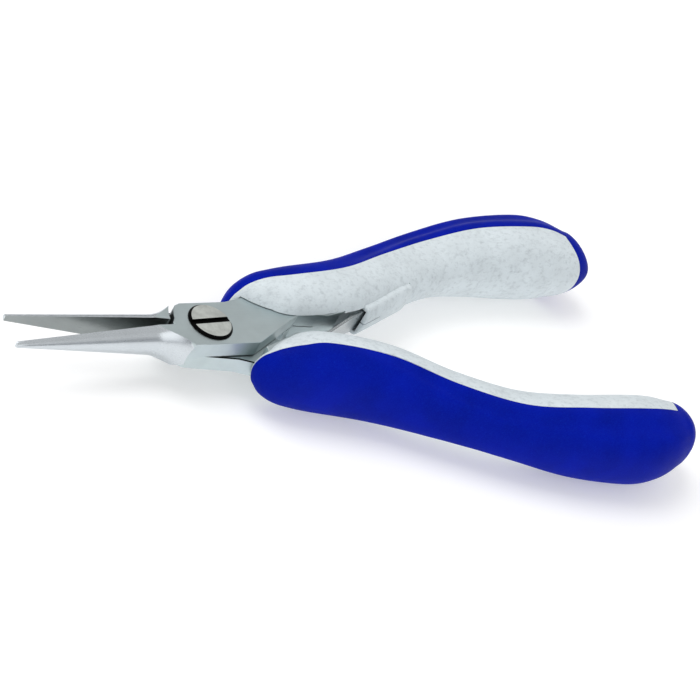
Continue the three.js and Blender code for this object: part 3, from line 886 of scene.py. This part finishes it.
@dataclass
class SpringPocket:
    """The block in the upper grip that the leaf's free end slides in."""

    spring: ReturnSpring
    mouth_lead: float = 2.8
    slope: float = 3.5
    length: float = 17.0
    lip: float = 1.7
    height: float = 4.0
    shoulder: float = 0.8
    side_wall: float = 1.05
    squareness: float = 2.4
    channel_depth: float = 4.8
    up_gap: float = 0.55
    down_gap: float = 0.4
    flare: float = 0.2
    hollow_side_gap: float = 0.8
    hollow_rise: float = 1.2
    rounding: float = 0.45
    rounding_steps: int = 4
    belly_steps: int = 24
    slit: Point = (0.34, 6.2)
    slit_rise: float = 0.1
    overcut: float = 1.0
    hollow_lead: float = 1.0

    @property
    def angle(self) -> float:
        """The channel's direction in the upper half's closed frame."""
        return self.spring.end_angle - 2 * OPEN_ANGLE

    def place(self, along: float, up: float) -> Point:
        """Return the plan point at a distance along the channel and up from its middle."""
        bend = turned(self.spring.bend(), -2 * OPEN_ANGLE)
        return away(away(bend, self.mouth_lead + along, self.angle), up, self.angle + 90)

    def block(self, grown: float, rounding: float = 0.0) -> Solid:
        """Return the outside of the block, grown all round and rounded at both ends."""
        half = self.spring.room + self.side_wall + grown
        top = self.height + grown
        drop = self.lip + self.shoulder + grown
        section = [(top, half), (top, -half)]
        for i in range(self.belly_steps + 1):
            angle = math.pi * i / self.belly_steps
            down = self.shoulder - drop * math.sin(angle) ** (1 / self.squareness)
            section.append((down, -half * math.cos(angle)))
        whole = self.length + 2 * grown
        ends = [(0.0, 0.0)]
        if rounding:
            angles = [math.pi / 2 * i / self.rounding_steps for i in range(self.rounding_steps + 1)]
            ends = [(rounding * (1 - math.cos(a)), rounding * (1 - math.sin(a))) for a in angles]
        stations = ends + [(whole - x, y) for x, y in reversed(ends)]
        rings = []
        for x, amount in stations:
            shape = inset(section[::-1], amount) if amount else section[::-1]
            rings.append([(x - grown, up, z) for up, z in shape])
        solid = Solid.loft(rings)
        mouth = self.place(0, 0)
        turn = Matrix.Rotation(math.radians(self.angle + self.slope), 4, "Z")
        return solid.moved(Matrix.Translation((mouth[0], mouth[1], 0)) @ turn)

    def channel(self) -> Solid:
        """Return the flared channel that the strip's free end slides in."""
        up = self.spring.thickness / 2 + self.up_gap
        down = self.spring.thickness / 2 + self.down_gap
        ends = [(-self.overcut, -down), (0, -down), (self.channel_depth, -down - self.flare),
                (self.channel_depth, up), (-self.overcut, up)]
        outline = [self.place(*end) for end in ends]
        return Solid.slab(outline, -self.spring.room, self.spring.room)

    def hollow(self, start: float, level: float) -> Solid:
        """Return the hollow ahead of the pocket, through which the strip reaches it."""
        rise = self.spring.thickness / 2 + self.up_gap + self.hollow_rise
        end, top = self.place(self.hollow_lead, rise)
        width = self.spring.half_width + self.hollow_side_gap
        outline = [(start, -FAR), (end, -FAR), (end, top), (start, level)]
        return Solid.slab(outline, -width, width)

    def underslit(self) -> Solid:
        """Return the moulding's slit along the underside, from the mouth."""
        width, length = self.slit
        start, rise = -self.overcut, self.slit_rise
        corners = [(start, -FAR), (length, -FAR), (length, rise), (start, rise)]
        outline = [self.place(*corner) for corner in corners]
        return Solid.slab(outline, -width / 2, width / 2)


# ---------------------------------------------------------------- pivot screw


@dataclass
class PivotScrew:
    """The slotted screw that holds the lap joint, with a raised head whose sides and slot are painted
    near-black as painted shade.
    """

    half_thickness: float
    radius: float = 2.5
    head_radius: float = 4.7
    top_radius: float = 4.2
    head_height: float = 0.65
    slot_width: float = 1.3
    slot_depth: float = 0.52
    slot_angle: float = 7.0
    end_chamfer: float = 0.3
    rim_height: float = 0.12
    top_edge: tuple[Point, ...] = ((0.12, -0.1), (0.03, -0.02), (-0.06, 0.0))
    steps: int = 96

    def solid(self) -> Solid:
        """Return the screw."""
        top = self.half_thickness + self.head_height
        seat = self.half_thickness + LAP_GAP
        profile = [
            (self.radius - self.end_chamfer, -self.half_thickness),
            (self.radius, -self.half_thickness + self.end_chamfer),
            (self.radius, seat),
            (self.head_radius, seat),
            (self.head_radius, seat + self.rim_height),
            *((self.top_radius + out, top + up) for out, up in self.top_edge),
        ]
        rings = []
        for radius, z in profile:
            rings.append([(x, y, z) for x, y in arc((0, 0), radius, 0, 360, self.steps)[:-1]])
        head = Solid.loft(rings)
        # The head's sides and the shank take the near-black steel: painted shade on the head's side wall.
        head.painted(Face.SECOND, lambda middle, normal: middle.z < top - self.rim_height / 2)
        w = self.slot_width / 2
        outline = [(-FAR, -w), (FAR, -w), (FAR, w), (-FAR, w)]
        # The slot's walls and floor are near-black too: painted shade inside the slot.
        slot = Solid.slab(outline, top - self.slot_depth, FAR, finish=Face.SECOND)
        return (head - slot).moved(Matrix.Rotation(math.radians(self.slot_angle + OPEN_ANGLE), 4, "Z"))


# ---------------------------------------------------------------- the pliers


@dataclass
class Pliers:
    """The whole tool: two steel halves, a screw, a leaf spring and two moulded grips."""

    finishes: Finishes
    form: GripForm = field(default_factory=GripForm)
    spring: ReturnSpring = field(default_factory=ReturnSpring)

    def __post_init__(self) -> None:
        """Make the pieces that take their sizes from the others."""
        self.steel = SteelHalf(self.form)
        self.pocket = SpringPocket(self.spring)
        self.screw = PivotScrew(self.steel.half_thickness)

    def build(self) -> None:
        """Build and place every piece."""
        self.build_steel()
        self.build_grips()
        self.build_spring()

    def build_steel(self) -> None:
        """Build the two forgings and the screw that joins them."""
        coats = (self.finishes.satin, self.finishes.polished, self.finishes.painted_shade,
                 self.finishes.painted_shadow)
        forging = self.steel.forging()
        near = forging.piece("near_forging", Half.UPPER.matrix(), coats)
        fit(near, "upper_handle", "lower_jaw_half")
        seated = forging.moved(Matrix.Rotation(math.pi, 4, "X")) - self.spring.seat(self.steel.wall_low[0])
        far = seated.piece("far_forging", Half.LOWER.matrix(), coats)
        fit(far, "lower_handle", "upper_jaw_half")
        screw = self.screw.solid().piece("slotted_screw", Half.LOWER.matrix(),
                                         (self.finishes.turned, self.finishes.painted_shadow))
        fit(screw, "lower_handle", "pivot_screw")

    def build_grips(self) -> None:
        """Build the pale core and the soft skin of both grips, and the spring pocket."""
        room = self.steel.room()
        body = self.form.body()
        wrap = self.form.body(valley=True)
        pale, blue = (self.finishes.plastic,), (self.finishes.elastomer,)
        for half in Half:
            panel = self.form.inner_side(PARTING_GAP / 2) & self.form.panel_side(0)
            parting = self.form.inner_side(-PARTING_GAP / 2) & self.form.panel_side(PARTING_GAP)
            core, skin = (body & panel) - room, wrap - parting - room
            if half is Half.UPPER:
                hollow = self.pocket.hollow(self.steel.wall_low[0], self.steel.groove_level)
                core = core - self.pocket.block(PARTING_GAP) - hollow
            place = half.matrix(half is Half.LOWER)
            word = half.name.lower()
            fit(core.piece(f"{word}_core", place, pale), half.value, f"{word}_grip_core")
            fit(skin.piece(f"{word}_skin", place, blue), half.value, f"{word}_grip_skin")
        block = self.pocket.block(0, self.pocket.rounding) - self.pocket.channel() - self.pocket.underslit()
        fit((block - room).piece("pocket_block", Half.UPPER.matrix(), pale), "upper_handle",
            "spring_pocket")

    def build_spring(self) -> None:
        """Build the leaf spring and its pin."""
        coats = (self.finishes.spring,)
        fit(self.spring.leaf().piece("leaf_spring", Half.LOWER.matrix(), coats), "spring",
            "return_spring")
        fit(self.spring.cross_pin().piece("leaf_pin", Half.LOWER.matrix(), coats), "lower_handle",
            "spring_pin")


# ---------------------------------------------------------------- studio


@dataclass
class Studio:
    """A pale floor, soft light and the camera."""

    aim: tuple[float, float, float] = (29.06, -7.67, 4.81)
    bearing: float = -135.942
    elevation: float = 34.925
    roll: float = 31.96
    distance: float = 510.0
    lens: float = 132.4
    sensor: float = 36.0
    nearest: float = 0.01
    floor_size: float = 3.0
    floor_drop: float = 0.0003
    floor_greys: Point = (0.78, 0.8)
    floor_glow: float = 0.32
    horizon: Colour = (0.3, 0.32, 0.36)
    zenith: Colour = (1.0, 1.0, 1.0)
    zenith_height: float = 0.45
    sky_strength: float = 0.65

    def way(self, bearing: float, elevation: float) -> Vector:
        """Return the direction from the aim at a bearing and an elevation in degrees."""
        b, e = math.radians(bearing), math.radians(elevation)
        return Vector((math.cos(e) * math.cos(b), math.cos(e) * math.sin(b), math.sin(e)))

    def camera(self) -> None:
        """Set up the camera."""
        target = joint_place("pivot") + Vector(self.aim) * MM
        back = self.way(self.bearing, self.elevation)
        data = bpy.data.cameras.new("camera")
        data.lens = self.lens
        data.sensor_width = self.sensor
        data.clip_start = self.nearest
        made = bpy.data.objects.new("camera", data)
        bpy.context.scene.collection.objects.link(made)
        turn = back.to_track_quat("Z", "Y").to_matrix().to_4x4()
        place = Matrix.Translation(target + back * self.distance * MM)
        made.matrix_world = place @ turn @ Matrix.Rotation(math.radians(self.roll), 4, "Z")
        bpy.context.scene.camera = made
        bpy.context.scene.view_settings.view_transform = "Standard"

    def floor(self) -> None:
        """Lay the pale floor."""
        half = self.floor_size / 2
        mesh = bpy.data.meshes.new("floor")
        corners = [(-half, -half, 0), (half, -half, 0), (half, half, 0), (-half, half, 0)]
        mesh.from_pydata(corners, [], [(0, 1, 2, 3)])
        graph = Graph("floor_paper")
        greys = [rgba((grey, grey, grey)) for grey in self.floor_greys]
        shade = graph.mixed(graph.noise((30.0, 30.0, 30.0)), *greys)
        mesh.materials.append(graph.close({
            "Base Color": shade, "Roughness": 0.9, "Emission Color": (1.0, 1.0, 1.0, 1.0),
            "Emission Strength": self.floor_glow}))
        made = bpy.data.objects.new("floor", mesh)
        bpy.context.scene.collection.objects.link(made)
        made.location.z = -self.floor_drop

    def sky(self) -> None:
        """Fill the room with pale light that dims towards the horizon."""
        world = bpy.data.worlds.new("room")
        bpy.context.scene.world = world
        world.use_nodes = True
        tree = world.node_tree
        tree.nodes.clear()
        where = tree.nodes.new("ShaderNodeTexCoord")
        split = tree.nodes.new("ShaderNodeSeparateXYZ")
        ramp = tree.nodes.new("ShaderNodeValToRGB")
        stops = ((0.0, self.horizon), (self.zenith_height, self.zenith))
        for element, (height, colour) in zip(ramp.color_ramp.elements, stops):
            element.position = height
            element.color = rgba(colour)
        glow = tree.nodes.new("ShaderNodeBackground")
        glow.inputs["Strength"].default_value = self.sky_strength
        out = tree.nodes.new("ShaderNodeOutputWorld")
        tree.links.new(where.outputs["Generated"], split.inputs[0])
        tree.links.new(split.outputs["Z"], ramp.inputs[0])
        tree.links.new(ramp.outputs[0], glow.inputs["Color"])
        tree.links.new(glow.outputs[0], out.inputs["Surface"])

    def softbox(self, name: str, bearing: float, elevation: float, distance: float, size: float,
                power: float) -> None:
        """Hang a soft square light that looks at the pliers."""
        data = bpy.data.lights.new(name, "AREA")
        data.shape = "SQUARE"
        data.size = size
        data.energy = power
        made = bpy.data.objects.new(name, data)
        bpy.context.scene.collection.objects.link(made)
        way = self.way(bearing, elevation)
        turn = way.to_track_quat("Z", "Y").to_matrix().to_4x4()
        made.matrix_world = Matrix.Translation(way * distance) @ turn

    def build(self) -> None:
        """Set up the whole studio."""
        self.camera()
        self.floor()
        self.sky()
        self.softbox("key_light", bearing=150, elevation=62, distance=0.9, size=0.5, power=3.4)
        self.softbox("fill_light", bearing=-100, elevation=30, distance=0.9, size=0.8, power=1.5)


def main() -> None:
    """Build the pliers and the studio round them."""
    logging.basicConfig(level=logging.INFO, format="%(name)s %(message)s")
    Pliers(Finishes()).build()
    Studio().build()


if __name__ == "__main__":
    main()
